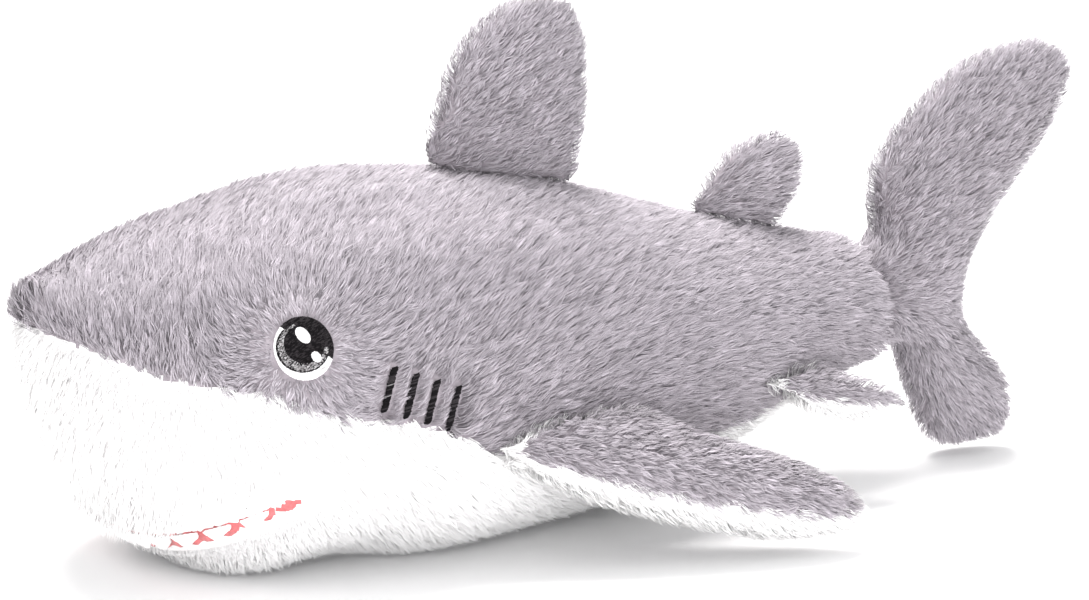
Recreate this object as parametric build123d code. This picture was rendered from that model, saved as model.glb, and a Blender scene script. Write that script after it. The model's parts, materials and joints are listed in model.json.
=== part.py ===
from build123d import *
from math import copysign, cos, pi, radians, sin
import os

# A plush shark that lies on its belly. Millimetres, nose towards -Y, the shark's left towards +X, up +Z.
# Everything is built from the nose's station at Y = 0 and the floor at Z = 0, and moved to its origin at the end.

# ---- Overall sizes
BODY_LENGTH = 275.0      # nose to the tail fin's seam
BODY_WIDTH = 120.0
BODY_HEIGHT = 108.0
PANEL = 3.5              # fur fabric: knitted backing and the pile pressed down
FLAT = 1.5               # how much of the belly the floor presses flat

# ---- Thread, seams and fits
THREAD_RADIUS = 0.6
THREAD_PLAY = 0.05       # around a fin's seam thread, in its sewn channel
HEM_RADIUS = 1.3         # the fin's closed edge around its seam thread
SEAM_GAP = 0.6           # between a fin's hem and the body
STUB = 3.0               # seam thread beyond each end of the fin's root
KNOT_RADIUS = 0.9        # the knots that hold a seam thread to the body
STITCH = 0.9             # depth of embroidery in the fur fabric
STITCH_RISE = 0.3        # how far a gill's satin stitch stands proud

# ---- Body: share of the length, then top, bottom and widest level as shares of the height,
# ---- half width as a share of the width, and the exponent of the section (2 is an ellipse)
BODY = (
    (-0.006, 0.75, 0.59, 0.70, 0.03, 2.0),
    (0.000, 0.78, 0.56, 0.70, 0.07, 2.0),
    (0.026, 0.80, 0.38, 0.64, 0.21, 2.1),
    (0.076, 0.84, 0.16, 0.55, 0.35, 2.2),
    (0.145, 0.90, 0.02, 0.46, 0.44, 2.3),
    (0.230, 0.95, 0.00, 0.42, 0.49, 2.4),
    (0.353, 1.00, 0.00, 0.40, 0.50, 2.4),
    (0.490, 0.98, 0.00, 0.41, 0.46, 2.3),
    (0.630, 0.91, 0.03, 0.43, 0.39, 2.2),
    (0.767, 0.81, 0.11, 0.45, 0.315, 2.1),
    (0.887, 0.74, 0.24, 0.49, 0.23, 2.0),
    (0.990, 0.69, 0.32, 0.50, 0.16, 2.0),
    (1.060, 0.67, 0.34, 0.50, 0.13, 2.0),
)
SECTION_STEPS = 9              # from the belly's middle round to the spine

# ---- Seam between the grey back and the white belly: share of the length, share of the height
COLOUR_LINE = (
    (-0.10, 0.66), (0.02, 0.66), (0.055, 0.63), (0.10, 0.59), (0.17, 0.56), (0.25, 0.487), (0.38, 0.40),
    (0.43, 0.325), (0.53, 0.29), (0.70, 0.245), (0.79, 0.25), (0.87, 0.30), (0.95, 0.30),
)

# ---- Mouth, seen from the side: its corner, and the two faces that open from there towards the nose
MOUTH_CORNER = (0.225, 0.26)   # shares of the length and the height
MOUTH_DROP = 29.0              # degrees that the lower face falls towards the nose
MOUTH_GAPE = 3.0               # degrees between the two faces
MOUTH_CREASE = 4.5             # height of the opening at its corner
LINING_RECESS = 2.0            # lining below the fur's surface
LINING_DEPTH = 9.0             # how far in the lining reaches from that surface
JAW_RUN = 9.0                  # how far back the jaw's seam leans on its way down
TOOTH_WIDTH = 10.0
TOOTH_HEIGHT = 5.4
TOOTH_RECESS = 0.3
TOOTH_THICKNESS = 1.2

# ---- Eyes and gills, embroidered
EYE_AT = (0.222, 0.665)        # shares of the length and the height
EYE_WIDTH = 16.5
EYE_HEIGHT = 17.5
GILLS = 4
GILL_PITCH = 6.6
GILL_LENGTH = 13.0
GILL_WIDTH = 2.2
GILL_AT = (0.342, 0.508)       # middle of the row, shares of the length and the height
GILL_LEAN = 19.0               # degrees, top towards the tail
GILL_STEP = 2.5                # each one lower than the last

# ---- Blank care label in the right-hand seam
LABEL = (12.0, 14.0, 0.6)      # out from the seam, along it, thickness
LABEL_AT = (0.745, 0.25)       # shares of the length and the height
LABEL_DROOP = 25.0

# ---- Fins. Each outline is rows of front, rear, span and thickness, as shares of chord, span and thickness.
# ---- Rise is how far a side fin's white underside wraps up past the middle of its edge.
DORSAL = {"at": 0.5385, "chord": 56.0, "span": 52.0, "thickness": 20.0}
DORSAL_ROWS = (
    (-0.50, 0.50, 0.00, 0.13), (-0.485, 0.495, 0.10, 0.60), (-0.44, 0.495, 0.27, 1.00),
    (-0.365, 0.45, 0.62, 0.90), (-0.24, 0.40, 0.82, 0.75), (-0.11, 0.32, 0.93, 0.52), (0.03, 0.20, 1.00, 0.20),
)
REAR_DORSAL = {"at": 0.831, "chord": 36.0, "span": 27.5, "thickness": 15.0}
REAR_DORSAL_ROWS = (
    (-0.50, 0.50, 0.00, 0.17), (-0.46, 0.55, 0.15, 0.65), (-0.40, 0.59, 0.30, 0.95),
    (-0.27, 0.60, 0.60, 0.95), (-0.09, 0.54, 0.81, 0.75), (0.07, 0.44, 0.94, 0.48), (0.18, 0.34, 1.00, 0.22),
)
PECTORAL = {"at": 0.515, "height": 0.325, "chord": 56.0, "span": 53.0, "thickness": 26.0, "droop": 27.0, "rise": 3.0}
PECTORAL_ROWS = (
    (-0.50, 0.50, 0.00, 0.10), (-0.42, 0.57, 0.08, 0.48), (-0.25, 0.76, 0.22, 0.86),
    (-0.03, 0.96, 0.40, 1.00), (0.25, 1.16, 0.60, 0.98), (0.56, 1.30, 0.80, 0.86),
    (0.82, 1.37, 0.93, 0.62), (1.01, 1.31, 1.00, 0.26),
)
PELVIC = {"at": 0.84, "height": 0.35, "chord": 26.0, "span": 24.0, "thickness": 16.0, "droop": 22.0, "rise": 1.6}
PELVIC_ROWS = (
    (-0.50, 0.50, 0.00, 0.16), (-0.42, 0.60, 0.14, 0.55), (-0.24, 0.82, 0.32, 0.95),
    (0.06, 1.04, 0.56, 1.00), (0.42, 1.20, 0.78, 0.84), (0.72, 1.24, 0.92, 0.56), (0.90, 1.18, 1.00, 0.24),
)
TAIL = {"top": 0.64, "bottom": 0.38, "lean": 13.8, "thickness": 21.0}
# Rows from the lower lobe's tip to the upper one's: front edge and rear edge, each as its distance below the
# middle of the root and behind it, in millimetres, then the thickness as a share.
TAIL_ROWS = (
    ((57.5, 12.0), (62.0, 34.0), 0.38), ((51.5, 6.5), (57.0, 41.0), 0.78), ((41.0, 4.5), (47.0, 43.0), 0.95),
    ((25.0, 2.6), (31.0, 38.0), 1.00), ((10.0, 2.2), (18.5, 33.5), 1.00), ((-8.0, 2.2), (3.0, 39.0), 1.00),
    ((-24.0, 3.0), (-9.0, 51.0), 1.00), ((-41.0, 9.0), (-15.0, 59.0), 0.96), ((-52.0, 24.0), (-22.0, 67.5), 0.90),
    ((-60.0, 40.0), (-31.0, 77.0), 0.84), ((-63.5, 58.0), (-41.0, 85.0), 0.70),
    ((-62.0, 73.0), (-48.0, 87.5), 0.50), ((-58.5, 81.0), (-52.5, 86.5), 0.24),
)
TAIL_WEB = 7.0                 # hem to where the tail fin's front edge is thick enough to hold it

FAR = 400.0                    # longer than anything that a cutting solid has to cross
PAST = 5.0                     # how far a solid that cuts the left half reaches past the middle
BESIDE = 0.01                  # off the middle seam, where a line would only graze a surface
UP = Vector(0, 0, 1)
LEFT = Vector(1, 0, 0)


def half_section(row, inset, past):
    """The left half of one section across the body, inset from the fur's surface and carried past the middle."""
    along, top, bottom, level, half_width, exponent = row
    middle = level * BODY_HEIGHT
    points = []
    for i in range(SECTION_STEPS + 1):
        angle = pi * i / SECTION_STEPS - pi / 2
        c, s = max(cos(angle), 0.0), sin(angle)
        height = (top * BODY_HEIGHT - middle if s > 0 else middle - bottom * BODY_HEIGHT) - inset
        x = (half_width * BODY_WIDTH - inset) * c ** (2 / exponent)
        z = middle + height * copysign(abs(s) ** (2 / exponent), s)
        points.append(Vector(x, along * BODY_LENGTH, z))
    points[0].X = points[-1].X = 0.0
    steps = [i / SECTION_STEPS for i in range(SECTION_STEPS + 1)]
    side = Edge.make_spline(points, tangents=[LEFT, LEFT * -1], parameters=steps)
    beyond = [end - LEFT * past for end in (points[-1], points[0])] if past else []
    return make_face(Wire([side, *Polyline(points[-1], *beyond, points[0]).edges()]))


def body_half(inset=0.0, past=0.0):
    """The left half of the body's smooth form, inset from the fur's surface and carried past the middle."""
    rows = [row for row in BODY if row[4] * BODY_WIDTH > inset + 2 and (row[1] - row[2]) * BODY_HEIGHT > 2 * inset + 8]
    return loft([half_section(row, inset, past) for row in rows])


def tail_frame():
    """Middle of the tail seam: x down the seam, y to the rear, z to the side."""
    lean = radians(TAIL["lean"])
    middle = (TAIL["top"] + TAIL["bottom"]) / 2 * BODY_HEIGHT
    down = Vector(0, sin(lean), -cos(lean))
    rear = Vector(0, cos(lean), sin(lean))
    seam = Vector(0, BODY_LENGTH, middle)
    return Plane(origin=seam + rear * (HEM_RADIUS + SEAM_GAP), x_dir=down, z_dir=down.cross(rear))


def side_prism(outline):
    """A solid right across the body from a closed outline of (y, z) points."""
    face = make_face(Polyline(*[(-FAR / 2, y, z) for y, z in outline], close=True))
    return extrude(face, amount=FAR, dir=(1, 0, 0))


def below_colour_line():
    """Everything under the seam between the grey back and the white belly."""
    points = [(-FAR / 2, along * BODY_LENGTH, height * BODY_HEIGHT) for along, height in COLOUR_LINE]
    line = Spline(*points)
    rear, front = points[-1][1], points[0][1]
    closing = Polyline(points[-1], (-FAR / 2, rear, -FAR), (-FAR / 2, front, -FAR), points[0])
    return extrude(make_face(Wire([line, *closing.edges()])), amount=FAR, dir=(1, 0, 0))


def surface_at(solid, start, direction):
    """Where a line from inside leaves a solid, and the surface's outward normal there."""
    hits = solid.find_intersection_points(Axis(tuple(start), tuple(direction)))
    point, normal = max(hits, key=lambda hit: (hit[0] - Vector(start)).dot(Vector(direction)))
    return point, normal if normal.dot(Vector(direction)) > 0 else normal * -1


def surface_hit(solid, start, direction):
    """Where a line from inside leaves a solid."""
    return surface_at(solid, start, direction)[0]


def seat_root(solid, front, rear, outward):
    """Moves a root line outward until its hem clears the solid by the seam gap."""
    needed = HEM_RADIUS + SEAM_GAP
    for repeat in range(3):
        missing = needed - solid.distance_to(Line(front, rear)) if repeat else needed
        front, rear = front + outward * missing, rear + outward * missing
    return front, rear


def top_root(solid, fin):
    """Frame of a fin on the back: x along its root to the rear, y up the fin, z to the side."""
    middle = fin["at"] * BODY_LENGTH
    ends = [surface_hit(solid, (BESIDE, middle + half * fin["chord"], BODY_HEIGHT / 2), UP) for half in (-0.5, 0.5)]
    front, rear = seat_root(solid, *ends, UP)
    along = (rear - front).normalized()
    return Plane(origin=(front + rear) / 2, x_dir=along, z_dir=LEFT)


def side_root(solid, fin):
    """Frame of the left fin of a pair: x along its root to the rear, y out along the fin, z down."""
    middle, level = fin["at"] * BODY_LENGTH, fin["height"] * BODY_HEIGHT
    ends = [surface_hit(solid, (0, middle + half * fin["chord"], level), LEFT) for half in (-0.5, 0.5)]
    front, rear = seat_root(solid, *ends, LEFT)
    along = (rear - front).normalized()
    level_out = along.cross(UP).normalized()
    droop = radians(fin["droop"])
    out = level_out * cos(droop) - UP * sin(droop)
    return Plane(origin=(front + rear) / 2, x_dir=along, z_dir=along.cross(out))


def fin_rows(fin, shares):
    """Front edge, rear edge and thickness of each section, in the fin's own frame."""
    chord, span = fin["chord"], fin["span"]
    return [((front * chord, out * span), (rear * chord, out * span), thick * fin["thickness"])
            for front, rear, out, thick in shares]


def fin_form(rows, inset=0.0):
    """A stuffed fin's form in its own frame, through elliptical sections from edge to edge."""
    sections = []
    for front, rear, thickness in rows:
        a, b = Vector(*front), Vector(*rear)
        half_chord, half_thickness = (b - a).length / 2 - inset, thickness / 2 - inset
        if min(half_chord, half_thickness) < (1.0 if inset else 0.1):
            continue
        across = (b - a).normalized()
        section = Plane(origin=(a + b) / 2, x_dir=across, z_dir=across.cross(UP))
        sections.append(section * Ellipse(half_chord, half_thickness))
    return loft(sections)


def hem(root_length, web):
    """The fin's closed edge: a rolled hem around the seam thread and the web that joins it to the fin."""
    roll = Rot(0, 90, 0) * Cylinder(HEM_RADIUS, root_length)
    return roll + Box(root_length, web, 2 * HEM_RADIUS, align=(Align.CENTER, Align.MIN, Align.CENTER))


def make_fin(frame, rows, root_length, web, names, rise=0.0):
    """Two fur panels, the first on the frame's z side and past its middle by the rise, and their stuffing."""
    outer = fin_form(rows) + hem(root_length, web)
    stuffing = fin_form(rows, PANEL)
    channel = Rot(0, 90, 0) * Cylinder(THREAD_RADIUS + THREAD_PLAY, root_length * 2)
    skin = outer - stuffing - channel
    halves = [split(skin, bisect_by=Plane.XY.offset(-rise), keep=keep) for keep in (Keep.TOP, Keep.BOTTOM)]
    return {name: frame.location * piece for name, piece in zip(names, (*halves, stuffing))}


def seam_thread(solid, frame, root_length):
    """The thread along a fin's root, with a stub at each end into the body's seam."""
    length = root_length + 2 * STUB
    thread = Rot(0, 90, 0) * Cylinder(THREAD_RADIUS, length)
    reach = 4 * (HEM_RADIUS + SEAM_GAP)
    for side in (-1, 1):
        knot = Rot(90, 0, 0) * Cylinder(KNOT_RADIUS, reach)
        thread += Pos(side * length / 2, KNOT_RADIUS * 2 - reach / 2, 0) * knot
    return frame.location * thread - solid


def together(shapes):
    """One compound of every solid in the shapes."""
    return Compound(children=[solid for shape in shapes for solid in shape.solids()])


def mirrored(piece):
    """The same piece on the shark's right."""
    return mirror(piece, about=Plane.YZ)


def both_sides(half):
    """One piece from its left half."""
    return half + mirrored(half)


def station(shares):
    """A point on the middle plane from its shares of the length and the height."""
    return Vector(0, shares[0] * BODY_LENGTH, shares[1] * BODY_HEIGHT)


def mouth_level(y):
    """Height of the mouth's upper face at a station."""
    corner = station(MOUTH_CORNER)
    rise = radians(MOUTH_DROP - MOUTH_GAPE)
    return corner.Z + MOUTH_CREASE - (corner.Y - y) * sin(rise) / cos(rise)


def mouth_prisms():
    """The mouth's wedge and the jaw under it, as solids right across the body."""
    corner = station(MOUTH_CORNER)
    front = corner.Y - 0.4 * BODY_LENGTH
    low = corner.Z - (corner.Y - front) * sin(radians(MOUTH_DROP)) / cos(radians(MOUTH_DROP))
    point = (corner.Y, corner.Z)
    wedge = [point, (corner.Y, mouth_level(corner.Y)), (front, mouth_level(front)), (front, low)]
    jaw = [point, (front, low), (front, -FAR), (corner.Y + JAW_RUN, -FAR), (corner.Y + JAW_RUN, 0)]
    return side_prism(wedge), side_prism(jaw)


def mouth_angles(solid, hub):
    """Angles round the hub that stand one tooth apart along the left half of the mouth."""
    sweep = [radians(4 * i) for i in range(24)]
    points = [surface_hit(solid, hub, Vector(sin(angle), -cos(angle), 0)) for angle in sweep]
    angles, run, wanted = [], 0.0, TOOTH_WIDTH
    for i in range(1, len(sweep)):
        step = (points[i] - points[i - 1]).length
        while run + step >= wanted:
            angles.append(sweep[i - 1] + (sweep[i] - sweep[i - 1]) * (wanted - run) / step)
            wanted += TOOTH_WIDTH
        run += step
    return angles[:-1]


def make_teeth(outer, wedge):
    """Pointed felt teeth round the mouth's upper edge, in front of the lining."""
    corner = station(MOUTH_CORNER)
    hub = Vector(BESIDE, corner.Y, mouth_level(corner.Y - BODY_WIDTH / 5))
    left = mouth_angles(outer, hub)
    half = TOOTH_WIDTH / 2
    triangle = make_face(Polyline((0, -TOOTH_HEIGHT), (half, 0), (half, half), (-half, half), (-half, 0), close=True))
    teeth = []
    for angle in [-a for a in reversed(left)] + [0.0] + left:
        ray = Vector(sin(angle), -cos(angle), 0)
        touch = surface_hit(outer, hub, ray)
        gum, normal = surface_at(outer, Vector(BESIDE, corner.Y, mouth_level(touch.Y)), ray)
        front = Plane(origin=gum - normal * TOOTH_RECESS, x_dir=UP.cross(normal), z_dir=normal)
        teeth.append(extrude(front * triangle, amount=-TOOTH_THICKNESS) & wedge)
    return together(teeth)


def oval(x, y, width, height):
    return Pos(x, y, 0) * Ellipse(width / 2, height / 2)


def eye_fields():
    """The eye's fields of thread, seen from outside the left cheek: x to the tail, y up."""
    w, h = EYE_WIDTH, EYE_HEIGHT
    opening = oval(-0.02 * w, -0.03 * h, 0.86 * w, 0.86 * h)
    iris = oval(0.03 * w, 0.02 * h, 0.76 * w, 0.78 * h) & opening
    pupil = oval(0.05 * w, 0.02 * h, 0.56 * w, 0.60 * h)
    glints = oval(-0.02 * w, 0.16 * h, 0.18 * w, 0.24 * h) + oval(0.12 * w, -0.17 * h, 0.12 * w, 0.14 * h)
    return {
        "eye_outline": oval(0, 0, w, h) - opening,
        "eye_white": opening - iris,
        "eye_iris": iris - pupil,
        "eye_pupil": pupil - glints,
        "eye_glints": glints,
    }


def make_eye(outer):
    """The left eye's thread fields, sunk into the fur fabric, and the seat that they fill."""
    inside = station(EYE_AT)
    point, normal = surface_at(outer, inside, LEFT)
    cheek = Plane(origin=point - normal * EYE_WIDTH, x_dir=UP.cross(normal), z_dir=normal)

    core = body_half(STITCH)

    def sunk(field):
        return (outer & (cheek * extrude(field, amount=2 * EYE_WIDTH))) - core

    fields = {name: sunk(field) for name, field in eye_fields().items()}
    return fields, sunk(oval(0, 0, EYE_WIDTH, EYE_HEIGHT))


def make_gill_bars(outer):
    """Four straight satin-stitched bars on the left side, each level with the fur fabric where it lies."""
    bars = []
    for i in range(GILLS):
        place = i - (GILLS - 1) / 2
        middle = station(GILL_AT) + Vector(0, place * GILL_PITCH, -place * GILL_STEP)
        point, normal = surface_at(outer, middle, LEFT)
        seat = Plane(origin=point - normal * STITCH, x_dir=UP.cross(normal), z_dir=normal)
        bar = seat * (Rot(0, 0, 90 - GILL_LEAN) * SlotOverall(GILL_LENGTH, GILL_WIDTH))
        bars.append(extrude(bar, amount=STITCH + STITCH_RISE))
    return bars


def make_label(outer):
    """A blank label that hangs from the seam on the right."""
    out, along, thick = LABEL
    start = surface_hit(outer, station(LABEL_AT), LEFT * -1)
    tag = Box(out + 2 * PANEL, along, thick, align=(Align.MAX, Align.CENTER, Align.CENTER))
    return Pos(*(start + LEFT * PANEL)) * (Rot(0, -LABEL_DROOP, 0) * tag) - outer


def make_torso(outer, inner, hollow, whole):
    """The sewn body from its left half: grey back, white belly, jaw, mouth, embroidery and stuffing."""
    wedge, jaw = mouth_prisms()
    below = below_colour_line()
    teeth = make_teeth(whole, wedge)
    lining = (body_half(LINING_RECESS) & wedge) - body_half(LINING_DEPTH, PAST)
    eye, eye_seat = make_eye(outer)
    bars = make_gill_bars(outer)
    skin = outer - hollow - wedge
    for seat in (eye_seat, *bars):
        skin -= seat
    back = skin - below
    white = skin & below
    pieces = {
        "back_panel_left": back,
        "back_panel_right": mirrored(back),
        "belly_panel": both_sides(white - jaw),
        "jaw_panel": both_sides(white & jaw),
        "mouth_lining": both_sides(lining) - teeth,
        "upper_teeth": teeth,
        "body_stuffing": both_sides(inner - lining - jaw),
        "jaw_stuffing": both_sides((inner - lining) & jaw),
        "care_label": make_label(whole),
    }
    for name, piece in (*eye.items(), ("gill_stitches", together(bars))):
        pieces[name + "_left"] = piece
        pieces[name + "_right"] = mirrored(piece)
    return pieces


def make_fins(outer):
    """Every fin and the seam thread it swings on."""
    pieces = {}
    for name, fin, shares in (("dorsal_fin", DORSAL, DORSAL_ROWS), ("rear_dorsal_fin", REAR_DORSAL, REAR_DORSAL_ROWS)):
        frame = top_root(outer, fin)
        names = [f"{name}_panel_left", f"{name}_panel_right", f"{name}_stuffing"]
        pieces |= make_fin(frame, fin_rows(fin, shares), fin["chord"], 0.1 * fin["span"], names)
        pieces[f"{name}_seam_thread"] = seam_thread(outer, frame, fin["chord"])
    for name, fin, shares in (("pectoral_fin", PECTORAL, PECTORAL_ROWS), ("pelvic_fin", PELVIC, PELVIC_ROWS)):
        frame = side_root(outer, fin)
        names = [f"{name}_underside", f"{name}_top", f"{name}_stuffing"]
        left = make_fin(frame, fin_rows(fin, shares), fin["chord"], 0.1 * fin["span"], names, fin["rise"])
        left[f"{name}_seam_thread"] = seam_thread(outer, frame, fin["chord"])
        for piece_name, piece in left.items():
            pieces[piece_name + "_left"] = piece
            pieces[piece_name + "_right"] = mirrored(piece)
    frame = tail_frame()
    length = (TAIL["top"] - TAIL["bottom"]) * BODY_HEIGHT / cos(radians(TAIL["lean"]))
    rows = [(front, rear, share * TAIL["thickness"]) for front, rear, share in TAIL_ROWS]
    names = ["tail_fin_panel_left", "tail_fin_panel_right", "tail_fin_stuffing"]
    pieces |= make_fin(frame, rows, length, TAIL_WEB, names)
    pieces["tail_fin_seam_thread"] = seam_thread(outer, frame, length)
    return pieces


def build():
    """All the pieces at their places, with the origin under the middle of the whole."""
    frame = tail_frame()
    seam = Plane(origin=frame.origin - frame.y_dir * (HEM_RADIUS + SEAM_GAP), x_dir=LEFT, z_dir=frame.y_dir)
    outer = split(body_half(), bisect_by=seam, keep=Keep.BOTTOM)
    seam.origin -= frame.y_dir * PANEL
    inner, hollow = (split(body_half(PANEL, past), bisect_by=seam, keep=Keep.BOTTOM) for past in (0.0, PAST))
    whole = both_sides(outer)
    pieces = make_torso(outer, inner, hollow, whole) | make_fins(whole)
    floor = Pos(0, BODY_LENGTH / 2, FLAT) * Box(FAR, 2 * FAR, FAR, align=(Align.CENTER, Align.CENTER, Align.MIN))
    pieces = {name: piece & floor if piece.bounding_box().min.Z < FLAT else piece for name, piece in pieces.items()}
    whole = together(pieces.values()).bounding_box()
    home = Pos(0, -whole.center().Y, -whole.min.Z)
    return {name: together([home * solid for solid in piece.solids()]) for name, piece in pieces.items()}


if __name__ == "__main__":
    os.makedirs("parts", exist_ok=True)
    for name, piece in build().items():
        export_step(piece, f"parts/{name}.step")
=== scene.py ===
import json

import bmesh
import bpy
import numpy as np
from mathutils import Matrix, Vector, kdtree
from mathutils.bvhtree import BVHTree

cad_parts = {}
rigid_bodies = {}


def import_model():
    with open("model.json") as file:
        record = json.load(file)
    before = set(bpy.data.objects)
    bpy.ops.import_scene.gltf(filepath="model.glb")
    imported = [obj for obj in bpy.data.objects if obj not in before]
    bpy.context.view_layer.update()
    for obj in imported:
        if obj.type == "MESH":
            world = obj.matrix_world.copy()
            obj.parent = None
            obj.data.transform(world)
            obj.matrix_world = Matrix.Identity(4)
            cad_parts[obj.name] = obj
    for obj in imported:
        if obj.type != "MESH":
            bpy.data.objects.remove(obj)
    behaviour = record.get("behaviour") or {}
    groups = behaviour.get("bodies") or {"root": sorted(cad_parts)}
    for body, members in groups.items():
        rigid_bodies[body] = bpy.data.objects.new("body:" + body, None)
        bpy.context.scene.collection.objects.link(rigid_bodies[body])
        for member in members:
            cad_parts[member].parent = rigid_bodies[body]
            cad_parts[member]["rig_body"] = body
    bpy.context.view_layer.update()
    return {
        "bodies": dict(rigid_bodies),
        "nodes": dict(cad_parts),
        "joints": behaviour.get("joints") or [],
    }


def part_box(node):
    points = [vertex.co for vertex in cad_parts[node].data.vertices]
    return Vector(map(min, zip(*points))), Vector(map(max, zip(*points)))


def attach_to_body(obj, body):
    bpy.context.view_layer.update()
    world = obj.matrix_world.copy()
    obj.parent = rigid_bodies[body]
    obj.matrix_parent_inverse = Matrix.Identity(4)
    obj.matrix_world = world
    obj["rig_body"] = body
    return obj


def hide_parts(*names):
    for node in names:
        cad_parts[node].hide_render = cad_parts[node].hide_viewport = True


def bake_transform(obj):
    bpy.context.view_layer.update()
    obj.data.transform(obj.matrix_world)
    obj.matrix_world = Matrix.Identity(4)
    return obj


# The looks of a plush shark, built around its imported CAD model. Skins, fur and stitches are worked out in
# millimetres in the CAD's frame (nose towards -Y, left side towards +X), and their meshes are in metres.

MM = 0.001
rng = np.random.default_rng(11)

# ---- Skin under the fur
WELD = 0.01                # points of CAD meshes closer than this are one point
VOXEL = 3.2                # remesh of the sewn panels before they are padded
PILE_DEPTH = 4.0           # skin below the fur's surface on the body
FIN_PILE_DEPTH = 3.0
SEAT_DEPTH = 1.4           # skin below the surface around the eye, the gills and the mouth
SINK_LIMIT = 0.28          # most that a skin sinks, as a share of the thickness there
PRESSURE = 4               # of the padding inside the cloth
CLOTH_STEPS = 20
PUFF_LIMIT = 2.0           # how far the padding may push a point

# ---- Roots of the fins
ROOT_DEPTH = 5.0           # how far a fin's skin reaches past its hinge into the body's fur
ROOT_BAND = (0.15, 0.30)   # where a fin's full section is taken from, as shares of its height
ROOT_TAPER = 0.2           # how much narrower the root is at its foot
# Each fin's root length, and how far the fin has swept back where its section is full
ROOTS = {
    "dorsal_fin": (56, 0), "rear_dorsal_fin": (36, 2.5), "tail_fin": (30, 0), "pectoral_fin": (56, 14),
    "pelvic_fin": (26, 6),
}

# ---- Fur
GREY_DENSITY = 3.3         # strands per square millimetre
WHITE_DENSITY = 3.0
STRAND_LENGTH = 7.0
STRAND_WIDTH = 0.29
BELLY_STRAND_WIDTH = STRAND_WIDTH * 0.9
LENGTHS = (0.72, 1.12)     # range of a strand's length, as a share of the usual
WIDTHS = (0.7, 1.25)       # and of its width
LEANS = (0.85, 1.15)       # and of how upright it stands
STRAY = 0.22               # how far a strand strays from the brushing
TURN = 0.5                 # how far a strand's flat side turns, in radians
SUNK_ROOT = 0.4            # a strand starts this far below the skin
FLOOR_GAP = 0.2            # strands are kept this far above the floor
CLUMP = 7                  # strands to a clump
CLUMP_PULL = 0.62          # how far their tips come together
CLUMP_TONE = 0.6           # spread in shade between clumps
STRAND_TONE = 0.55         # spread in shade between strands
COLOUR_EDGE = 0.9          # how raggedly grey and white fur meet
SOFTNESS = 0.62            # how far a strand's shading follows the skin below it
MOST_STRANDS = 60000       # in one piece
FIN_SHARE = 0.78           # of the strand length, on a fin
UPRIGHT = {"back": 0.52, "belly": 0.60, "fin_top": 0.42, "fin_underside": 0.45}
BARE_EYE = 0.98            # no fur within this share of an eye's half height
BARE_GILL = SEAT_DEPTH * 0.75
BARE_MOUTH = 2.4           # no fur this close to the mouth's lining

# ---- Embroidery
THREAD = 0.46              # width of one stitch in a gill
EYE_THREAD = 0.26
EYE_WIDTH = 16.5
EYE_HEIGHT = 17.5
EYE_ROW_LEAN = 24          # of the rows of stitches, in degrees
ROW_STEP = 0.82            # between rows, as a share of the thread's width
STITCH_STEP = 0.86         # between a gill's stitches, the same
LAY_STEP = 0.14            # how finely a row of the eye is followed
STITCH_SINK = 0.35         # a stitch's ends lie this far below the CAD surface

# ---- Mouth
LINING_VOXEL = 0.9
LINING_RIBS = 95           # round a full turn of the mouth
RIB_HEIGHT = 0.28
TOOTH_VOXEL = 0.45

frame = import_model()
nodes = frame["nodes"]


def unit(v):
    return v / np.maximum(np.linalg.norm(v, axis=-1, keepdims=True), 1e-9)


def smoothstep(low, high, value):
    t = np.clip((value - low) / (high - low), 0, 1)
    return t * t * (3 - 2 * t)


# ---------------------------------------------------------------- materials

def material(name, colour, roughness=0.8, sheen=0.0, specular=0.3, bump=None, mottle=None):
    """A procedural material: bump is (texture, scale, strength) and mottle is (scale, darker, lighter)."""
    made = bpy.data.materials.new(name)
    made.use_nodes = True
    tree = made.node_tree
    shader = tree.nodes["Principled BSDF"]
    shader.inputs["Base Color"].default_value = (*colour, 1)
    shader.inputs["Roughness"].default_value = roughness
    shader.inputs["Specular IOR Level"].default_value = specular
    shader.inputs["Sheen Weight"].default_value = sheen
    shader.inputs["Sheen Roughness"].default_value = 0.5
    place = tree.nodes.new("ShaderNodeTexCoord").outputs["Object"]
    if mottle:
        scale, dark, light = mottle
        texture = tree.nodes.new("ShaderNodeTexNoise")
        texture.inputs["Scale"].default_value = scale
        texture.inputs["Detail"].default_value = 6
        ramp = tree.nodes.new("ShaderNodeValToRGB")
        ramp.color_ramp.elements[0].position = 0.35
        ramp.color_ramp.elements[1].position = 0.65
        ramp.color_ramp.elements[0].color = (*[c * dark for c in colour], 1)
        ramp.color_ramp.elements[1].color = (*[min(1, c * light) for c in colour], 1)
        tree.links.new(place, texture.inputs["Vector"])
        tree.links.new(texture.outputs["Fac"], ramp.inputs["Fac"])
        tree.links.new(ramp.outputs["Color"], shader.inputs["Base Color"])
    if bump:
        kind, scale, strength = bump
        texture = tree.nodes.new(kind)
        texture.inputs["Scale"].default_value = scale
        height = tree.nodes.new("ShaderNodeBump")
        height.inputs["Strength"].default_value = strength
        height.inputs["Distance"].default_value = 0.0004
        tree.links.new(place, texture.inputs["Vector"])
        tree.links.new(texture.outputs[0], height.inputs["Height"])
        tree.links.new(height.outputs["Normal"], shader.inputs["Normal"])
    return made


# The lowest shares go mostly to the strands' root halves as painted shade in the pile, and the highest to
# their tips as painted light.
GREY = (0.425, 0.392, 0.430)
GREY_SHADES = [tuple(channel * share for channel in GREY) for share in (0.50, 0.76, 0.96, 1.16, 1.42)]
WHITE_SHADES = [(0.93, 0.92, 0.92), (0.965, 0.96, 0.96), (0.985, 0.98, 0.98)]


def strand_materials(name, shades):
    bump = ("ShaderNodeTexNoise", 900, 0.4)
    return [material(f"{name}_{i}", shade, roughness=0.75, sheen=0.15, bump=bump)
            for i, shade in enumerate(shades)]


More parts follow.
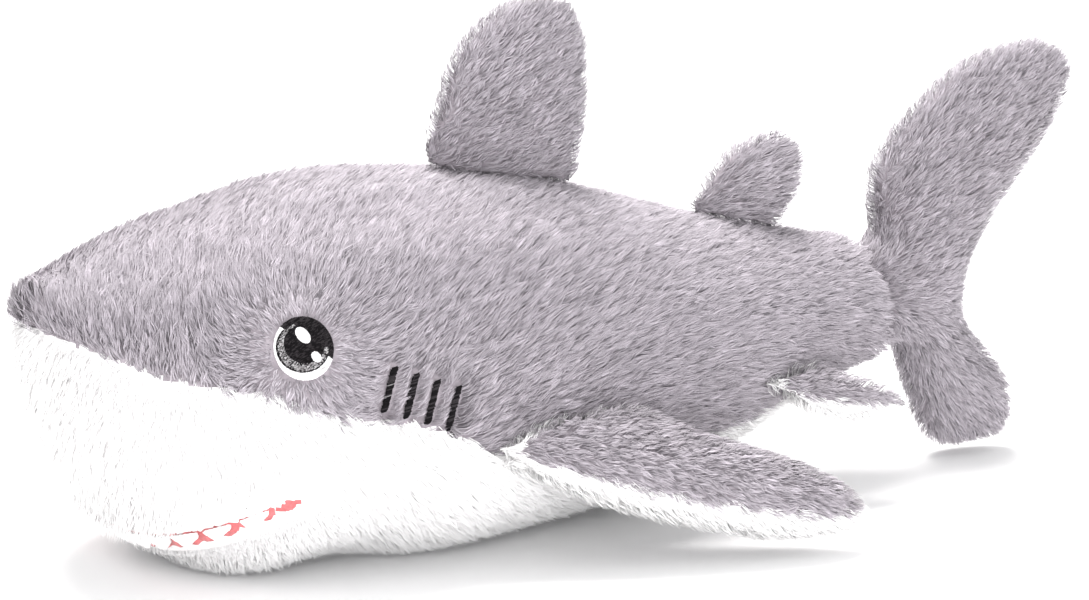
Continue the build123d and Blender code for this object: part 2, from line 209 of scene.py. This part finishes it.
grey_strands = strand_materials("grey_fur", GREY_SHADES)
white_strands = strand_materials("white_fur", WHITE_SHADES)
weave = ("ShaderNodeTexNoise", 500, 0.8)
# The grey backing is darker than the grey fur, as painted shade in the gaps between strands. Its mottle is
# random tone.
grey_backing_painted_shade = material("grey_backing_painted_shade", (0.34, 0.305, 0.335), 0.95, bump=weave, mottle=(160, 0.7, 1.3))
white_backing = material("white_backing", (0.93, 0.92, 0.92), 0.95, bump=weave, mottle=(160, 0.96, 1.04))
lining_cloth = material("lining_velour", (0.56, 0.145, 0.15), 0.85, 0.3, 0.2,
                        ("ShaderNodeTexNoise", 1400, 0.9), (420, 0.8, 1.3))
tooth_felt = material("tooth_felt", (0.93, 0.91, 0.91), 0.95, 0.3, 0.2,
                      ("ShaderNodeTexNoise", 1600, 0.9), (500, 0.94, 1.05))
thread_bump = ("ShaderNodeTexNoise", 2600, 0.7)
black_thread = material("black_thread", (0.004, 0.003, 0.004), 0.6, 0.0, 0.12, thread_bump)
dark_thread = material("charcoal_thread", (0.028, 0.024, 0.027), 0.6, 0.0, 0.15, thread_bump)
grey_thread = material("grey_thread", (0.22, 0.21, 0.215), 0.5, 0.2, 0.4, thread_bump)
pale_thread = material("pale_thread", (0.50, 0.49, 0.50), 0.5, 0.2, 0.4, thread_bump)
white_thread = material("white_thread", (0.90, 0.89, 0.90), 0.45, 0.2, 0.5, thread_bump)
label_tape = material("label_tape", (0.92, 0.92, 0.90), 0.6, 0.1, 0.4,
                      ("ShaderNodeTexChecker", 3000, 0.6), (900, 0.95, 1.04))

# ---------------------------------------------------------------- meshes from arrays and from CAD nodes


def mesh_object(name, points, faces, materials, shade=None, smooth=False):
    """An object from points in millimetres and a list of (array of equal-sized faces)."""
    mesh = bpy.data.meshes.new(name)
    points = np.asarray(points, float).reshape(-1, 3)
    mesh.vertices.add(len(points))
    mesh.vertices.foreach_set("co", (points * MM).astype(np.float32).ravel())
    loops = np.concatenate([np.asarray(f, int).ravel() for f in faces])
    totals = np.concatenate([np.full(len(f), f.shape[1]) for f in faces])
    starts = np.concatenate([[0], np.cumsum(totals)[:-1]])
    mesh.loops.add(len(loops))
    mesh.loops.foreach_set("vertex_index", loops.astype(np.int32))
    mesh.polygons.add(len(totals))
    mesh.polygons.foreach_set("loop_start", starts.astype(np.int32))
    if shade is not None:
        mesh.polygons.foreach_set("material_index", np.asarray(shade, np.int32))
    mesh.polygons.foreach_set("use_smooth", np.full(len(totals), smooth))
    for one in materials:
        mesh.materials.append(one)
    mesh.update(calc_edges=True)
    made = bpy.data.objects.new(name, mesh)
    bpy.context.scene.collection.objects.link(made)
    return made


def joined(name, names):
    """One object with the meshes of several CAD nodes."""
    merged = bmesh.new()
    for node in names:
        merged.from_mesh(nodes[node].data)
    bmesh.ops.remove_doubles(merged, verts=merged.verts, dist=WELD * MM)
    mesh = bpy.data.meshes.new(name)
    merged.to_mesh(mesh)
    merged.free()
    made = bpy.data.objects.new(name, mesh)
    bpy.context.scene.collection.objects.link(made)
    return made


def with_modifiers(made, *settings):
    """Adds each (type, {property: value}) modifier and applies them all to the mesh."""
    for kind, values in settings:
        modifier = made.modifiers.new(kind, kind)
        for key, value in values.items():
            setattr(modifier, key, value)
    depsgraph = bpy.context.evaluated_depsgraph_get()
    mesh = bpy.data.meshes.new_from_object(made.evaluated_get(depsgraph))
    old = made.data
    made.modifiers.clear()
    made.data = mesh
    mesh.name = made.name
    bpy.data.meshes.remove(old)


def points_of(mesh):
    co = np.zeros(len(mesh.vertices) * 3, np.float32)
    mesh.vertices.foreach_get("co", co)
    return co.reshape(-1, 3).astype(float) / MM


def normals_of(mesh):
    normals = np.zeros(len(mesh.vertices) * 3, np.float32)
    mesh.vertex_normals.foreach_get("vector", normals)
    return normals.reshape(-1, 3).astype(float)


def move_points(mesh, points):
    mesh.vertices.foreach_set("co", (points * MM).astype(np.float32).ravel())
    mesh.update()


def tree_of(names):
    merged = joined("tree", names)
    tree = BVHTree.FromObject(merged, bpy.context.evaluated_depsgraph_get())
    bpy.data.objects.remove(merged)
    return tree


def pad(made):
    """Fills a remeshed skin by cloth pressure, and keeps each point within the limit."""
    start = points_of(made.data)
    cloth = made.modifiers.new("Cloth", "CLOTH")
    cloth.settings.use_pressure = True
    cloth.settings.uniform_pressure_force = PRESSURE
    cloth.settings.effector_weights.gravity = 0
    cloth.point_cache.frame_start = 1
    cloth.point_cache.frame_end = CLOTH_STEPS
    scene = bpy.context.scene
    for step in range(1, CLOTH_STEPS + 1):
        scene.frame_set(step)
    with_modifiers(made)
    moved = points_of(made.data) - start
    far = np.linalg.norm(moved, axis=1, keepdims=True)
    move_points(made.data, start + moved * np.minimum(1, PUFF_LIMIT / np.maximum(far, 1e-6)))
    scene.frame_set(1)


def hinge_of(body):
    """A fin's hinge: a point on it, its axis, and the way the fin stands out from it."""
    joint = next(j for j in frame["joints"] if j["child"] == body)
    point, axis = np.array(joint["pos_m"]) / MM, unit(np.array(joint["axis"], float))
    axis = axis * np.sign(axis[1])
    members = [n for n, o in nodes.items() if o["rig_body"] == body]
    out = centre(*members) - point
    return point, axis, unit(out - (out @ axis) * axis)


def add_root(made, body):
    """Carries a fin's full section past its hinge, to where the body's fabric takes it."""
    point, axis, out = hinge_of(body)
    root, sweep = ROOTS[body.removesuffix("_left").removesuffix("_right")]
    points = points_of(made.data)
    height = (points - point) @ out
    along = (points - point) @ axis - sweep
    low, high = (share * height.max() for share in ROOT_BAND)
    band = (height > low) & (height < high) & (np.abs(along) < root * 0.52)
    ring, height = points[band], height[band]
    foot = ring - out * (height + ROOT_DEPTH)[:, None] - axis * sweep
    middle = foot.mean(0)
    side = np.cross(axis, out)
    foot -= side * ((foot - middle) @ side * ROOT_TAPER)[:, None]
    merged = bmesh.new()
    for corner in np.concatenate([ring, foot]):
        merged.verts.new(Vector(corner * MM))
    hull = bmesh.ops.convex_hull(merged, input=merged.verts)
    bmesh.ops.delete(merged, geom=hull["geom_interior"], context="VERTS")
    merged.from_mesh(made.data)
    merged.to_mesh(made.data)
    merged.free()


def sewn_skin(name, names, depth, body=None):
    """The padded skin of sewn CAD pieces, sunk by depth(points), and the surface that it is sunk from."""
    made = joined(name, names)
    remesh = ("REMESH", {"mode": "VOXEL", "voxel_size": VOXEL * MM})
    with_modifiers(made, remesh)
    if body:
        add_root(made, body)
        with_modifiers(made, remesh)
    with_modifiers(made, ("SMOOTH", {"factor": 0.5, "iterations": 3}))
    pad(made)
    with_modifiers(made, ("SUBSURF", {"levels": 1}))
    points, normals = points_of(made.data), normals_of(made.data)
    tree = BVHTree.FromObject(made, bpy.context.evaluated_depsgraph_get())
    through = np.full(len(points), 100.0)
    for i, (point, normal) in enumerate(zip(points, normals)):
        start = Vector((point - normal * 0.2) * MM)
        hit = tree.ray_cast(start, Vector(-normal))
        if hit[0] is not None:
            through[i] = hit[3] / MM
    sink = np.minimum(depth(points), through * SINK_LIMIT)
    move_points(made.data, points - normals * sink[:, None])
    with_modifiers(made, ("SMOOTH", {"factor": 0.5, "iterations": 2}))
    made.data.shade_smooth()
    return made, points


# ---------------------------------------------------------------- the body's landmarks, from the CAD nodes

def centre(*names):
    corners = [np.array(corner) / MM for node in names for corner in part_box(node)]
    return (np.min(corners, 0) + np.max(corners, 0)) / 2


def seat_of(names):
    """Middle of a thin CAD patch, and its normal from the faces that look outward."""
    merged = joined("seat", names)
    mesh = merged.data
    middle = points_of(mesh).mean(0)
    side = np.sign(middle[0])
    normal = np.zeros(3)
    for face in mesh.polygons:
        if face.normal.x * side > 0.5:
            normal += np.array(face.normal) * face.area
    bpy.data.objects.remove(merged)
    return middle, unit(normal)


EYE_FIELDS = ("eye_outline", "eye_white", "eye_iris", "eye_pupil", "eye_glints")
eyes = {side: seat_of([f"{field}_{side}" for field in EYE_FIELDS]) for side in ("left", "right")}
mouth_tree = tree_of(["mouth_lining"])
gill_tree = tree_of(["gill_stitches_left", "gill_stitches_right"])


def from_tree(tree, points, reach):
    """Distance from each point to a mesh, up to a reach, in millimetres."""
    far = np.full(len(points), float(reach))
    for i, point in enumerate(points):
        near = tree.find_nearest(Vector(point * MM), reach * MM)
        if near[0] is not None:
            far[i] = near[3] / MM
    return far


def from_eye(points):
    """Distance from the nearer eye's centre as a share of the eye's size."""
    shares = [np.linalg.norm(points - eyes[side][0], axis=1) for side in eyes]
    return np.min(shares, 0) / (EYE_HEIGHT / 2)


def body_depth(points):
    """How deep the skin lies under the fur's surface on the body."""
    eye = smoothstep(1.05, 1.9, from_eye(points))
    mouth = smoothstep(1.0, 9.0, from_tree(mouth_tree, points, 10))
    gills = smoothstep(0.8, 4.0, from_tree(gill_tree, points, 6))
    return SEAT_DEPTH + (PILE_DEPTH - SEAT_DEPTH) * np.minimum(np.minimum(eye, mouth), gills)


# ---------------------------------------------------------------- fur

def sides(points, value):
    """The value with its x turned to face outward on each side."""
    vectors = np.tile(np.array(value, float), (len(points), 1))
    vectors[:, 0] *= np.sign(points[:, 0])
    return vectors


def mixed(position, stops):
    """Directions blended between (position, vector) stops."""
    along = [stop[0] for stop in stops]
    table = np.array([stop[1] for stop in stops], float)
    return np.stack([np.interp(position, along, table[:, i]) for i in range(3)], axis=1)


def around_eyes(points, flow):
    """Turns the flow to radiate from the eye nearby."""
    for middle, normal in eyes.values():
        away = points - middle
        away -= (away @ normal)[:, None] * normal
        near = smoothstep(4.2, 1.2, np.linalg.norm(points - middle, axis=1) / (EYE_HEIGHT / 2))[:, None]
        flow = flow * (1 - near) + unit(away) * near
    return flow


def back_flow(points):
    """The grey fur's brushing: up on the head, up and back on the flank, and back at the rear."""
    flow = mixed(points[:, 1], [(-175, (0, -0.15, 1)), (-130, (0, 0.15, 1)), (-80, (0, 0.7, 0.9)),
                                (-10, (0, 1, 0.55)), (50, (0, 1, 0.1)), (110, (0, 1, -0.12))])
    return around_eyes(points, flow)


def belly_flow(points):
    """The white fur's brushing: down on the snout and over the mouth, and back under the belly."""
    return mixed(points[:, 1], [(-175, (0, 0.1, -1)), (-125, (0, 0.35, -1)), (-85, (0, 0.8, -0.8)),
                                (-20, (0, 1, -0.35)), (110, (0, 1, -0.1))])


def fin_flow(value):
    """Brushing that is the same all over a fin, and mirrored between the sides."""
    def flow(points):
        return sides(points, value)
    return flow


def tail_flow(points):
    """Up and back on the tail's upper lobe, down and back on its lower lobe."""
    up = smoothstep(38, 66, points[:, 2])[:, None]
    return np.array([0, 0.7, 0.75]) * up + np.array([0, 0.65, -0.75]) * (1 - up)


def body_pile(points):
    """Share of the full strand length on the body."""
    eye = 0.42 + 0.58 * smoothstep(1.0, 2.6, from_eye(points))
    mouth = 0.18 + 0.82 * smoothstep(0.5, 12.0, from_tree(mouth_tree, points, 14))
    mouth = np.maximum(mouth, smoothstep(-137, -146, points[:, 1]))
    gills = 0.45 + 0.55 * smoothstep(0.4, 4.5, from_tree(gill_tree, points, 6))
    return np.minimum(np.minimum(eye, mouth), gills)


def triangles_of(mesh):
    mesh.calc_loop_triangles()
    corners = np.zeros(len(mesh.loop_triangles) * 3, np.int32)
    mesh.loop_triangles.foreach_get("vertices", corners)
    return corners.reshape(-1, 3)


def scattered(points, normals, triangles, density):
    """Random places on the triangles with their smooth normals."""
    a, b, c = (points[triangles[:, i]] for i in range(3))
    area = np.linalg.norm(np.cross(b - a, c - a), axis=1) / 2
    count = int(area.sum() * density)
    picked = rng.choice(len(triangles), count, p=area / area.sum())
    u, v = rng.random((2, count, 1))
    over = (u + v) > 1
    u, v = np.where(over, 1 - u, u), np.where(over, 1 - v, v)
    chosen = triangles[picked]
    place = points[chosen[:, 0]] * (1 - u - v) + points[chosen[:, 1]] * u + points[chosen[:, 2]] * v
    normal = normals[chosen[:, 0]] * (1 - u - v) + normals[chosen[:, 1]] * u + normals[chosen[:, 2]] * v
    return place, unit(normal)


def clumped(roots, tips):
    """Pulls the tips of neighbouring strands together, and gives each strand its clump's number."""
    leaders = rng.choice(len(roots), max(1, len(roots) // CLUMP), replace=False)
    tree = kdtree.KDTree(len(leaders))
    for i, leader in enumerate(leaders):
        tree.insert(Vector(roots[leader]), i)
    tree.balance()
    mine = np.array([tree.find(Vector(root))[1] for root in roots])
    together = (tips[leaders[mine]] - tips) * CLUMP_PULL
    return tips + together, mine


def attach(made, body):
    """A torso piece rides on the torso; a fin's piece only has its transform baked into its mesh."""
    if body == "torso":
        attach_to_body(made, body)
        return
    point, axis, out = hinge_of(body)
    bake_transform(made)


def fur(name, body, place, normal, flow, share, materials, upright, width=STRAND_WIDTH):
    """Tapered strands that stand on a skin and bend over the way they are brushed."""
    count = len(place)
    lay = flow(place) + rng.normal(0, STRAY, (count, 3))
    lay -= np.sum(lay * normal, axis=1, keepdims=True) * normal
    lay = unit(lay)
    length = (STRAND_LENGTH * share * rng.uniform(*LENGTHS, count))[:, None]
    lean = upright * rng.uniform(*LEANS, count)[:, None]
    middle = place + unit(normal * (0.55 + lean) + lay * 0.55) * length * 0.5
    tip = middle + unit(normal * lean + lay * 0.95) * length * 0.5
    tip, clump = clumped(place, tip)
    middle += (tip - middle) * 0.12
    for row in (place, middle, tip):
        row[:, 2] = np.maximum(row[:, 2], FLOOR_GAP)
    turn = rng.normal(0, TURN, (count, 1))
    across = unit(unit(np.cross(tip - place, normal)) * np.cos(turn) + normal * np.sin(turn))
    half = width / 2 * rng.uniform(*WIDTHS, (count, 1))
    low = place - normal * SUNK_ROOT
    points = np.stack([low - across * half, low + across * half, middle + across * half * 0.8,
                       middle - across * half * 0.8, tip], axis=1).reshape(-1, 3)
    first = np.arange(count)[:, None] * 5
    quads, tris = first + np.array([0, 1, 2, 3]), first + np.array([3, 2, 4])
    top = len(materials) - 1
    tone = rng.normal(0, CLUMP_TONE, clump.max() + 1)[clump] + rng.normal(0, STRAND_TONE, count) + 0.45 * top
    # Each strand's root half is set darker and its tip half lighter than its own tone: painted shade deep in
    # the pile and painted light on the tips. The spread between clumps and strands is random tone.
    tip_tone_with_painted_light = np.clip(np.round(tone + 0.45), 0, top).astype(int)
    root_tone_with_painted_shade = np.clip(np.round(tone - 0.35), 0, top).astype(int)
    shades = np.concatenate([root_tone_with_painted_shade, tip_tone_with_painted_light])
    made = mesh_object(name, points, [quads, tris], materials, shades, smooth=True)
    facing = np.cross(tip - place, across)
    facing = unit(facing * np.sign(np.sum(facing * normal, axis=1, keepdims=True) + 1e-6))
    soft = unit(normal * SOFTNESS + facing * (1 - SOFTNESS))
    made.data.normals_split_custom_set_from_vertices(np.repeat(soft, 5, axis=0).tolist())
    attach(made, body)
    return made


def fur_over(name, body, skin, kept, flow, share, materials, density, upright, width=STRAND_WIDTH):
    """Fur on the skin's triangles that are kept, in as many pieces as the strand limit needs."""
    points, normals = points_of(skin.data), normals_of(skin.data)
    place, normal = scattered(points, normals, triangles_of(skin.data)[kept], density)
    lengths = share(place)
    bare = lengths <= 0
    place, normal, lengths = place[~bare], normal[~bare], lengths[~bare]
    order = np.argsort(place[:, 1] + 1000 * (place[:, 0] > 0) * (body == "torso"))
    parts = int(np.ceil(len(order) / MOST_STRANDS))
    for i, chosen in enumerate(np.array_split(order, parts)):
        piece = f"{name}_{i + 1}" if parts > 1 else name
        made = fur(piece, body, place[chosen], normal[chosen], flow, lengths[chosen],
                   materials, upright, width)


def nearest_group(groups):
    """For each point, the number of the group of CAD nodes that it is nearest to."""
    trees = [tree_of(names) for names in groups]

    def classify(points):
        found = [from_tree(tree, points, 40) for tree in trees]
        return np.argmin(found, axis=0)
    return classify


def fur_groups(skin, surface, classify):
    """The group of each of the skin's triangles, with a ragged edge where two colours of fur meet."""
    middles = surface[triangles_of(skin.data)].mean(1)
    return classify(middles + rng.normal(0, COLOUR_EDGE, middles.shape))


def paint_skin(skin, surface, classify, materials):
    """Gives each face of the skin the material of the group that it is nearest to."""
    mesh = skin.data
    middles = np.array([surface[list(face.vertices)].mean(0) for face in mesh.polygons])
    for one in materials:
        mesh.materials.append(one)
    mesh.polygons.foreach_set("material_index", classify(middles).astype(np.int32))


# ---------------------------------------------------------------- torso

seam_threads = [n for n in nodes if "seam_thread" in n]
loose_on_torso = [*seam_threads, "care_label", "upper_teeth"]
torso_nodes = sorted(n for n, o in nodes.items() if o["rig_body"] == "torso" and n not in loose_on_torso)
torso, torso_surface = sewn_skin("torso_skin", torso_nodes, body_depth)
groups = (
    ["back_panel_left", "back_panel_right", "gill_stitches_left", "gill_stitches_right"]
    + [f"{field}_{side}" for field in EYE_FIELDS for side in eyes],
    ["belly_panel", "jaw_panel"],
    ["mouth_lining"],
)
body_group = nearest_group(groups)
paint_skin(torso, torso_surface, body_group, [grey_backing_painted_shade, white_backing, lining_cloth])
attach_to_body(torso, "torso")
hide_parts("back_panel_left", "back_panel_right", "belly_panel", "jaw_panel",
            "body_stuffing", "jaw_stuffing")
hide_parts(*seam_threads)


def body_share(points):
    """Share of the full strand length on the body, and none on the eyes, the gills and the mouth."""
    share = body_pile(points)
    share[from_eye(points) < BARE_EYE] = 0
    share[from_tree(gill_tree, points, 3) < BARE_GILL] = 0
    share[from_tree(mouth_tree, points, 4) < BARE_MOUTH] = 0
    return share


torso_groups = fur_groups(torso, torso_surface, body_group)
fur_over("back_fur", "torso", torso, torso_groups == 0, back_flow, body_share, grey_strands,
         GREY_DENSITY, UPRIGHT["back"])
fur_over("belly_fur", "torso", torso, torso_groups == 1, belly_flow, body_share, white_strands,
         WHITE_DENSITY, UPRIGHT["belly"], BELLY_STRAND_WIDTH)

# ---------------------------------------------------------------- fins

FIN_FLOWS = {
    "dorsal_fin": fin_flow((0, 0.75, 0.75)),
    "rear_dorsal_fin": fin_flow((0, 0.9, 0.5)),
    "tail_fin": tail_flow,
    "pectoral_fin": fin_flow((0.55, 0.85, -0.35)),
    "pelvic_fin": fin_flow((0.35, 1, -0.3)),
}


def fin_depth(points):
    return np.full(len(points), FIN_PILE_DEPTH)


def fin_share(points):
    return np.full(len(points), FIN_SHARE)


def one_group(points):
    return np.zeros(len(points), int)


def make_fin_looks(body):
    """A fin's padded skin and its fur."""
    names = sorted(n for n, o in nodes.items() if o["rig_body"] == body)
    kind = body.removesuffix("_left").removesuffix("_right")
    skin, surface = sewn_skin(f"{body}_skin", names, fin_depth, body)
    under = [n for n in names if "underside" in n]
    upper = [n for n in names if "underside" not in n and "stuffing" not in n]
    group = nearest_group([upper, under]) if under else one_group
    paint_skin(skin, surface, group, [grey_backing_painted_shade, white_backing])
    attach(skin, body)
    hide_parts(*names)
    colours = fur_groups(skin, surface, group)
    fur_over(f"{body}_fur", body, skin, colours == 0, FIN_FLOWS[kind], fin_share, grey_strands,
             GREY_DENSITY, UPRIGHT["fin_top"])
    if under:
        fur_over(f"{body}_white_fur", body, skin, colours == 1, FIN_FLOWS[kind], fin_share, white_strands,
                 WHITE_DENSITY, UPRIGHT["fin_underside"])


for body in sorted(frame["bodies"]):
    if body != "torso":
        make_fin_looks(body)

# ---------------------------------------------------------------- embroidery


def stitches(name, ends, shades, materials, rise, thread=THREAD):
    """Rounded stitches, each an arched strip of thread between two points, standing on its normal."""
    a, b, up = (np.array([end[i] for end in ends]) for i in range(3))
    along = b - a
    across = unit(np.cross(along, up)) * thread * 0.52
    rows = []
    for share, lift in ((0.0, 0.0), (0.15, 0.7), (0.5, 1.0), (0.85, 0.7), (1.0, 0.0)):
        spine = a + along * share + up * lift * rise
        rows.append(np.stack([spine - across - up * 0.12, spine - across * 0.6 + up * 0.09,
                              spine + up * 0.13,
                              spine + across * 0.6 + up * 0.09, spine + across - up * 0.12], axis=1))
    points = np.stack(rows, axis=1).reshape(-1, 3)
    first = np.arange(len(ends))[:, None] * 25
    corners = [row * 5 + column for row in range(4) for column in range(4)]
    quads = [first + corner + np.array([0, 1, 6, 5]) for corner in corners]
    return mesh_object(name, points, quads, materials, np.tile(shades, len(quads)), smooth=True)


def within(u, v, middle, half, lean=0.0):
    """Whether a place lies in an ellipse."""
    c, s = np.cos(lean), np.sin(lean)
    du, dv = u - middle[0], v - middle[1]
    return ((du * c + dv * s) / half[0]) ** 2 + ((dv * c - du * s) / half[1]) ** 2 < 1


def eye_field(u, v):
    """Which thread covers a place on the eye, in shares of its half size: u to the tail, v up."""
    if u * u + v * v > 1:
        return None
    if within(u, v, (0.04, 0.40), (0.20, 0.30), 0.62) or within(u, v, (0.365, -0.32), (0.15, 0.19), 0.62):
        return "glint"
    if within(u, v, (0.04, 0.13), (0.69, 0.62)):
        return "pupil"
    if within(u, v, (-0.03, 0.03), (0.90, 0.79)):
        if (u + 0.22) * 0.79 + (v - 0.80) * 0.91 > 0:
            return "lid"
        return "iris" if within(u, v, (-0.01, 0.04), (0.85, 0.755)) else "rim"
    return "white" if (u + 0.69) * 1.24 + (v - 0.79) * 1.59 < 0 else "lid"


STITCH_LENGTHS = {"pupil": 0.8, "lid": 1.0, "iris": 0.42, "rim": 0.5, "white": 1.6, "glint": 1.4}
STITCH_TONES = {
    "pupil": (0.72, 1.0, 1.0, 1.0), "lid": (0.55, 1.0, 1.0, 1.0), "iris": (0.14, 0.34, 0.78, 1.0),
    "rim": (0.62, 0.90, 1.0, 1.0), "white": (0, 0, 0, 0.04), "glint": (0, 0, 0, 0.03),
}


def make_eye(side):
    """One embroidered eye: rows of short stitches whose colour changes with the field that they cross."""
    middle, normal = eyes[side]
    tree = tree_of([f"{field}_{side}" for field in EYE_FIELDS])
    back = unit(np.array([0, 1, 0]) - normal[1] * normal)
    up = np.cross(normal, back) * (1 if side == "right" else -1)
    up = up * np.sign(up[2])
    materials = [black_thread, dark_thread, grey_thread, pale_thread, white_thread]
    lean = np.radians(EYE_ROW_LEAN)
    row_dir = np.array([np.cos(lean), np.sin(lean)])
    step_dir = np.array([-np.sin(lean), np.cos(lean)])
    ends, shades = [], []

    def lay(u, v):
        """The place on the eye's surface at u to the tail and v up, in millimetres."""
        start = middle + back * u + up * v + normal * 8
        hit = tree.ray_cast(Vector(start * MM), Vector(-normal))
        if hit[0] is None:
            return middle + back * u + up * v
        return np.array(hit[0]) / MM - normal * STITCH_SINK

    half_w, half_h = EYE_WIDTH / 2, EYE_HEIGHT / 2
    for row in np.arange(-half_h, half_h, EYE_THREAD * ROW_STEP):
        run, last = None, None
        position = -half_h - rng.uniform(0, 1)
        while position < half_h + 1:
            u, v = row_dir * position + step_dir * row
            field = eye_field(u / half_w, v / half_h)
            longest = STITCH_LENGTHS.get(last, 1.0) * rng.uniform(0.75, 1.25)
            if run is not None and (field != last or position - run > longest):
                p, q = row_dir * run + step_dir * row, row_dir * position + step_dir * row
                if last is not None:
                    ends.append((lay(*p), lay(*q), normal))
                    shades.append(int(np.searchsorted(STITCH_TONES[last], rng.random())))
                run = position - 0.08
            if run is None:
                run = position
            last = field
            position += LAY_STEP
    made = stitches(f"eye_embroidery_{side}", ends, shades, materials, 0.12, EYE_THREAD)
    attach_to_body(made, "torso")
    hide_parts(*[f"{field}_{side}" for field in EYE_FIELDS])


def loose_parts(node):
    """Points of each separate solid in a CAD node."""
    merged = bmesh.new()
    merged.from_mesh(nodes[node].data)
    bmesh.ops.remove_doubles(merged, verts=merged.verts, dist=WELD * MM)
    left, parts = set(merged.verts), []
    while left:
        queue, part = [left.pop()], []
        while queue:
            vertex = queue.pop()
            part.append(np.array(vertex.co) / MM)
            for edge in vertex.link_edges:
                other = edge.other_vert(vertex)
                if other in left:
                    left.remove(other)
                    queue.append(other)
        parts.append(np.array(part))
    merged.free()
    return parts


def make_gills(side):
    """Satin-stitched bars: slanting stitches side by side, crowned in the middle."""
    ends = []
    for part in loose_parts(f"gill_stitches_{side}"):
        middle = (part.min(0) + part.max(0)) / 2
        axes = np.linalg.eigh(np.cov((part - part.mean(0)).T))[1]
        along, across, normal = axes[:, 2], axes[:, 1], axes[:, 0]
        normal = normal * np.sign(normal[0] * middle[0])
        along = along * np.sign(along[2])
        across = across * np.sign(across[1])
        half = np.abs((part - middle) @ along).max()
        wide = np.abs((part - middle) @ across).max()
        for step in np.arange(-half + 0.3, half - 0.3, THREAD * STITCH_STEP):
            narrow = np.sqrt(max(0.05, 1 - max(0, abs(step) - half + wide) ** 2 / wide ** 2))
            reach = wide * narrow * rng.uniform(0.82, 1.06)
            base = middle + along * (step + rng.normal(0, 0.05)) + normal * rng.uniform(-0.12, 0.12)
            slant = along * 0.6 * reach
            ends.append((base - across * reach - slant, base + across * reach + slant, normal))
    shades = (rng.random(len(ends)) > 0.7).astype(int) + (rng.random(len(ends)) > 0.93).astype(int)
    made = stitches(f"gill_embroidery_{side}", ends, shades, [black_thread, dark_thread, grey_thread], 0.5)
    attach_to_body(made, "torso")
    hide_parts(f"gill_stitches_{side}")


for side in ("left", "right"):
    make_eye(side)
    make_gills(side)

# ---------------------------------------------------------------- mouth and label

lining = joined("mouth_velour", ["mouth_lining"])
with_modifiers(lining, ("REMESH", {"mode": "VOXEL", "voxel_size": LINING_VOXEL * MM}),
               ("SMOOTH", {"factor": 0.5, "iterations": 3}))
points, normals = points_of(lining.data), normals_of(lining.data)
around = np.arctan2(points[:, 0], -(points[:, 1] + 60))
ribs = np.sin(around * LINING_RIBS + 0.5 * np.sin(points[:, 2] * 0.9))
move_points(lining.data, points + normals * (ribs * RIB_HEIGHT)[:, None])
lining.data.materials.append(lining_cloth)
lining.data.shade_smooth()
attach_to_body(lining, "torso")
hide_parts("mouth_lining")

teeth = joined("felt_teeth", ["upper_teeth"])
with_modifiers(teeth, ("REMESH", {"mode": "VOXEL", "voxel_size": TOOTH_VOXEL * MM}),
               ("SMOOTH", {"factor": 0.5, "iterations": 5}))
teeth.data.materials.append(tooth_felt)
teeth.data.shade_smooth()
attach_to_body(teeth, "torso")
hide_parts("upper_teeth")

label = joined("blank_label", ["care_label"])
with_modifiers(label, ("BEVEL", {"width": 0.2 * MM, "segments": 2}),
               ("SUBSURF", {"levels": 2, "subdivision_type": "SIMPLE"}))
label.data.materials.append(label_tape)
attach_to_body(label, "torso")
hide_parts("care_label")

# ---------------------------------------------------------------- floor, light and camera

FLOOR_REACH = 4000
floor_paint = material("studio_floor", (0.95, 0.95, 0.955), 0.9, specular=0.1,
                       bump=("ShaderNodeTexNoise", 60, 0.02))
floor_corners = [(x * FLOOR_REACH, y * FLOOR_REACH, 0) for x, y in ((-1, -1), (1, -1), (1, 1), (-1, 1))]
floor = mesh_object("studio_floor", floor_corners, [np.array([[0, 1, 2, 3]])], [floor_paint])

world = bpy.data.worlds.new("studio")
bpy.context.scene.world = world
world.use_nodes = True
world.node_tree.nodes["Background"].inputs["Color"].default_value = (1.0, 1.0, 1.0, 1)
world.node_tree.nodes["Background"].inputs["Strength"].default_value = 1.0


def softbox(name, place, target, size, power, colour):
    light = bpy.data.lights.new(name, "AREA")
    light.shape = "DISK"
    light.size = size
    light.energy = power
    light.color = colour
    made = bpy.data.objects.new(name, light)
    made.location = place
    made.rotation_euler = (Vector(target) - Vector(place)).to_track_quat("-Z", "Y").to_euler()
    bpy.context.scene.collection.objects.link(made)


BODY_CENTRE = (0, 0, 0.06)
softbox("top", (-0.35, 0.0, 1.1), BODY_CENTRE, 0.7, 20, (1.0, 0.98, 0.965))
softbox("front", (1.5, -0.9, 0.7), BODY_CENTRE, 1.0, 11, (1.0, 0.99, 0.985))
softbox("low_fill", (1.6, -0.5, 0.10), BODY_CENTRE, 0.8, 10, (0.97, 0.98, 1.0))

CAMERA_PLACE = (1.001, -0.546, 0.299)
CAMERA_TARGET = (0, -0.0106, 0.0632)
CAMERA_LENS = 130.4

camera = bpy.data.cameras.new("camera")
camera.lens = CAMERA_LENS
camera.sensor_width = 36
camera.clip_start = 0.05
viewer = bpy.data.objects.new("camera", camera)
viewer.location = CAMERA_PLACE
viewer.rotation_euler = (Vector(CAMERA_TARGET) - viewer.location).to_track_quat("-Z", "Y").to_euler()
bpy.context.scene.collection.objects.link(viewer)
bpy.context.scene.camera = viewer
bpy.context.scene.view_settings.view_transform = "Standard"
